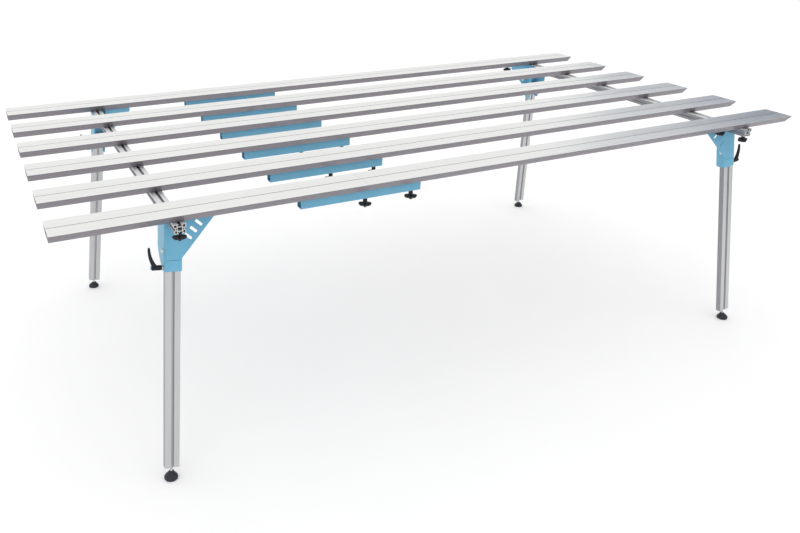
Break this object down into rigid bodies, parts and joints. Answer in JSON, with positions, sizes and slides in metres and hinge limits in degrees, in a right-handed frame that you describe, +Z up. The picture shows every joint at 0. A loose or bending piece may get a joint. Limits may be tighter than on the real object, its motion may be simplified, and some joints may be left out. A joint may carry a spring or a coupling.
{
  "type": "tile cutter table",
  "caption": "Long work table for cutting large tiles: flat aluminium deck rails on slotted crossbeams, with splayed folding legs in folded blue corner brackets and screw-down levelling feet.",
  "frame": {"origin": "on the floor, under the middle of the deck", "axes": "+X along the rails, from the short rails' end to the long rails' end; -Y to the side that faces the picture's viewer; +Z up"},
  "size_m": [2.7, 1.434, 0.845],
  "materials": {
    "rail_aluminium": "satin anodised extrusion",
    "beam_aluminium": "satin anodised extrusion",
    "leg_aluminium": "satin anodised extrusion",
    "bracket_paint": "semi-gloss powder coat",
    "connector_paint": "semi-gloss powder coat",
    "knob_plastic": "fine-grained moulding",
    "lever_plastic": "fine-grained moulding",
    "foot_plastic": "fine-grained moulding",
    "bolt_steel": "zinc-plated steel"
  },
  "bodies": {
    "frame": {"rail_1_short": "rail_aluminium", "rail_1_long": "rail_aluminium", "connector_1": "connector_paint", "rail_2_short": "rail_aluminium", "rail_2_long": "rail_aluminium", "connector_2": "connector_paint", "rail_3_short": "rail_aluminium", "rail_3_long": "rail_aluminium", "connector_3": "connector_paint", "rail_4_short": "rail_aluminium", "rail_4_long": "rail_aluminium", "connector_4": "connector_paint", "rail_5_short": "rail_aluminium", "rail_5_long": "rail_aluminium", "connector_5": "connector_paint", "rail_6_short": "rail_aluminium", "rail_6_long": "rail_aluminium", "connector_6": "connector_paint", "crossbeam_left": "beam_aluminium", "crossbeam_right": "beam_aluminium", "bracket_fl": "bracket_paint", "pivot_bolt_fl": "bolt_steel", "bracket_fr": "bracket_paint", "pivot_bolt_fr": "bolt_steel", "bracket_rl": "bracket_paint", "pivot_bolt_rl": "bolt_steel", "bracket_rr": "bracket_paint", "pivot_bolt_rr": "bolt_steel"},
    "leg_fl": {"leg_fl": "leg_aluminium"},
    "foot_fl": {"foot_fl": "foot_plastic"},
    "clamp_lever_fl": {"clamp_lever_fl": "lever_plastic"},
    "leg_fr": {"leg_fr": "leg_aluminium"},
    "foot_fr": {"foot_fr": "foot_plastic"},
    "clamp_lever_fr": {"clamp_lever_fr": "lever_plastic"},
    "leg_rl": {"leg_rl": "leg_aluminium"},
    "foot_rl": {"foot_rl": "foot_plastic"},
    "clamp_lever_rl": {"clamp_lever_rl": "lever_plastic"},
    "leg_rr": {"leg_rr": "leg_aluminium"},
    "foot_rr": {"foot_rr": "foot_plastic"},
    "clamp_lever_rr": {"clamp_lever_rr": "lever_plastic"},
    "end_knob_fl": {"end_knob_fl": "knob_plastic"},
    "end_knob_fr": {"end_knob_fr": "knob_plastic"},
    "end_knob_rl": {"end_knob_rl": "knob_plastic"},
    "end_knob_rr": {"end_knob_rr": "knob_plastic"},
    "flange_knob_fr": {"flange_knob_fr": "knob_plastic"},
    "flange_knob_rr": {"flange_knob_rr": "knob_plastic"},
    "connector_knob_1a": {"connector_knob_1a": "knob_plastic"},
    "connector_knob_1b": {"connector_knob_1b": "knob_plastic"},
    "connector_knob_2a": {"connector_knob_2a": "knob_plastic"},
    "connector_knob_2b": {"connector_knob_2b": "knob_plastic"},
    "connector_knob_3a": {"connector_knob_3a": "knob_plastic"},
    "connector_knob_3b": {"connector_knob_3b": "knob_plastic"},
    "connector_knob_4a": {"connector_knob_4a": "knob_plastic"},
    "connector_knob_4b": {"connector_knob_4b": "knob_plastic"},
    "connector_knob_5a": {"connector_knob_5a": "knob_plastic"},
    "connector_knob_5b": {"connector_knob_5b": "knob_plastic"},
    "connector_knob_6a": {"connector_knob_6a": "knob_plastic"},
    "connector_knob_6b": {"connector_knob_6b": "knob_plastic"}
  },
  "joints": [
    {"name": "leg_fl_fold", "type": "hinge", "parent": "frame", "child": "leg_fl", "pos_m": [-1.027, -0.59415, 0.712], "axis": [0.991, 0, -0.134], "range_deg": [0, 98]},
    {"name": "foot_fl_screw", "type": "slide", "parent": "leg_fl", "child": "foot_fl", "axis": [-0.1327, -0.1397, -0.9813], "range_m": [0, 0.025]},
    {"name": "clamp_lever_fl_turn", "type": "hinge", "parent": "frame", "child": "clamp_lever_fl", "pos_m": [-1.0592, -0.60092, 0.66789], "axis": [-0.991, 0, 0.134], "range_deg": [0, 150]},
    {"name": "leg_fr_fold", "type": "hinge", "parent": "frame", "child": "leg_fr", "pos_m": [1.146, -0.59415, 0.712], "axis": [0.991, 0, 0.134], "range_deg": [0, 98]},
    {"name": "foot_fr_screw", "type": "slide", "parent": "leg_fr", "child": "foot_fr", "axis": [0.1327, -0.1397, -0.9813], "range_m": [0, 0.025]},
    {"name": "clamp_lever_fr_turn", "type": "hinge", "parent": "frame", "child": "clamp_lever_fr", "pos_m": [1.1782, -0.60092, 0.66789], "axis": [0.991, 0, 0.134], "range_deg": [0, 150]},
    {"name": "leg_rl_fold", "type": "hinge", "parent": "frame", "child": "leg_rl", "pos_m": [-1.027, 0.59415, 0.712], "axis": [-0.991, 0, 0.134], "range_deg": [0, 90]},
    {"name": "foot_rl_screw", "type": "slide", "parent": "leg_rl", "child": "foot_rl", "axis": [-0.1327, 0.1397, -0.9813], "range_m": [0, 0.025]},
    {"name": "clamp_lever_rl_turn", "type": "hinge", "parent": "frame", "child": "clamp_lever_rl", "pos_m": [-1.0592, 0.60092, 0.66789], "axis": [-0.991, 0, 0.134], "range_deg": [0, 150]},
    {"name": "leg_rr_fold", "type": "hinge", "parent": "frame", "child": "leg_rr", "pos_m": [1.146, 0.59415, 0.712], "axis": [-0.991, 0, -0.134], "range_deg": [0, 90]},
    {"name": "foot_rr_screw", "type": "slide", "parent": "leg_rr", "child": "foot_rr", "axis": [0.1327, 0.1397, -0.9813], "range_m": [0, 0.025]},
    {"name": "clamp_lever_rr_turn", "type": "hinge", "parent": "frame", "child": "clamp_lever_rr", "pos_m": [1.1782, 0.60092, 0.66789], "axis": [0.991, 0, 0.134], "range_deg": [0, 150]},
    {"name": "end_knob_fl_turn", "type": "hinge", "parent": "frame", "child": "end_knob_fl", "pos_m": [-1.0165, -0.65525, 0.7904], "axis": [0, 0, -1], "continuous": true},
    {"name": "end_knob_fr_turn", "type": "hinge", "parent": "frame", "child": "end_knob_fr", "pos_m": [1.1355, -0.65525, 0.7904], "axis": [0, 0, -1], "continuous": true},
    {"name": "end_knob_rl_turn", "type": "hinge", "parent": "frame", "child": "end_knob_rl", "pos_m": [-1.0165, 0.65525, 0.7904], "axis": [0, 0, -1], "continuous": true},
    {"name": "end_knob_rr_turn", "type": "hinge", "parent": "frame", "child": "end_knob_rr", "pos_m": [1.1355, 0.65525, 0.7904], "axis": [0, 0, -1], "continuous": true},
    {"name": "flange_knob_fr_turn", "type": "hinge", "parent": "frame", "child": "flange_knob_fr", "pos_m": [1.0535, -0.61812, 0.8154], "axis": [0, 0, -1], "continuous": true},
    {"name": "flange_knob_rr_turn", "type": "hinge", "parent": "frame", "child": "flange_knob_rr", "pos_m": [0.9995, 0.61812, 0.8154], "axis": [0, 0, -1], "continuous": true},
    {"name": "connector_knob_1a_turn", "type": "hinge", "parent": "frame", "child": "connector_knob_1a", "pos_m": [-0.434, -0.61875, 0.7844], "axis": [0, 0, -1], "continuous": true},
    {"name": "connector_knob_1b_turn", "type": "hinge", "parent": "frame", "child": "connector_knob_1b", "pos_m": [-0.275, -0.61875, 0.7844], "axis": [0, 0, -1], "continuous": true},
    {"name": "connector_knob_2a_turn", "type": "hinge", "parent": "frame", "child": "connector_knob_2a", "pos_m": [-0.434, -0.37125, 0.7844], "axis": [0, 0, -1], "continuous": true},
    {"name": "connector_knob_2b_turn", "type": "hinge", "parent": "frame", "child": "connector_knob_2b", "pos_m": [-0.275, -0.37125, 0.7844], "axis": [0, 0, -1], "continuous": true},
    {"name": "connector_knob_3a_turn", "type": "hinge", "parent": "frame", "child": "connector_knob_3a", "pos_m": [-0.434, -0.12375, 0.7844], "axis": [0, 0, -1], "continuous": true},
    {"name": "connector_knob_3b_turn", "type": "hinge", "parent": "frame", "child": "connector_knob_3b", "pos_m": [-0.275, -0.12375, 0.7844], "axis": [0, 0, -1], "continuous": true},
    {"name": "connector_knob_4a_turn", "type": "hinge", "parent": "frame", "child": "connector_knob_4a", "pos_m": [-0.434, 0.12375, 0.7844], "axis": [0, 0, -1], "continuous": true},
    {"name": "connector_knob_4b_turn", "type": "hinge", "parent": "frame", "child": "connector_knob_4b", "pos_m": [-0.275, 0.12375, 0.7844], "axis": [0, 0, -1], "continuous": true},
    {"name": "connector_knob_5a_turn", "type": "hinge", "parent": "frame", "child": "connector_knob_5a", "pos_m": [-0.434, 0.37125, 0.7844], "axis": [0, 0, -1], "continuous": true},
    {"name": "connector_knob_5b_turn", "type": "hinge", "parent": "frame", "child": "connector_knob_5b", "pos_m": [-0.275, 0.37125, 0.7844], "axis": [0, 0, -1], "continuous": true},
    {"name": "connector_knob_6a_turn", "type": "hinge", "parent": "frame", "child": "connector_knob_6a", "pos_m": [-0.434, 0.61875, 0.7844], "axis": [0, 0, -1], "continuous": true},
    {"name": "connector_knob_6b_turn", "type": "hinge", "parent": "frame", "child": "connector_knob_6b", "pos_m": [-0.275, 0.61875, 0.7844], "axis": [0, 0, -1], "continuous": true}
  ]
}
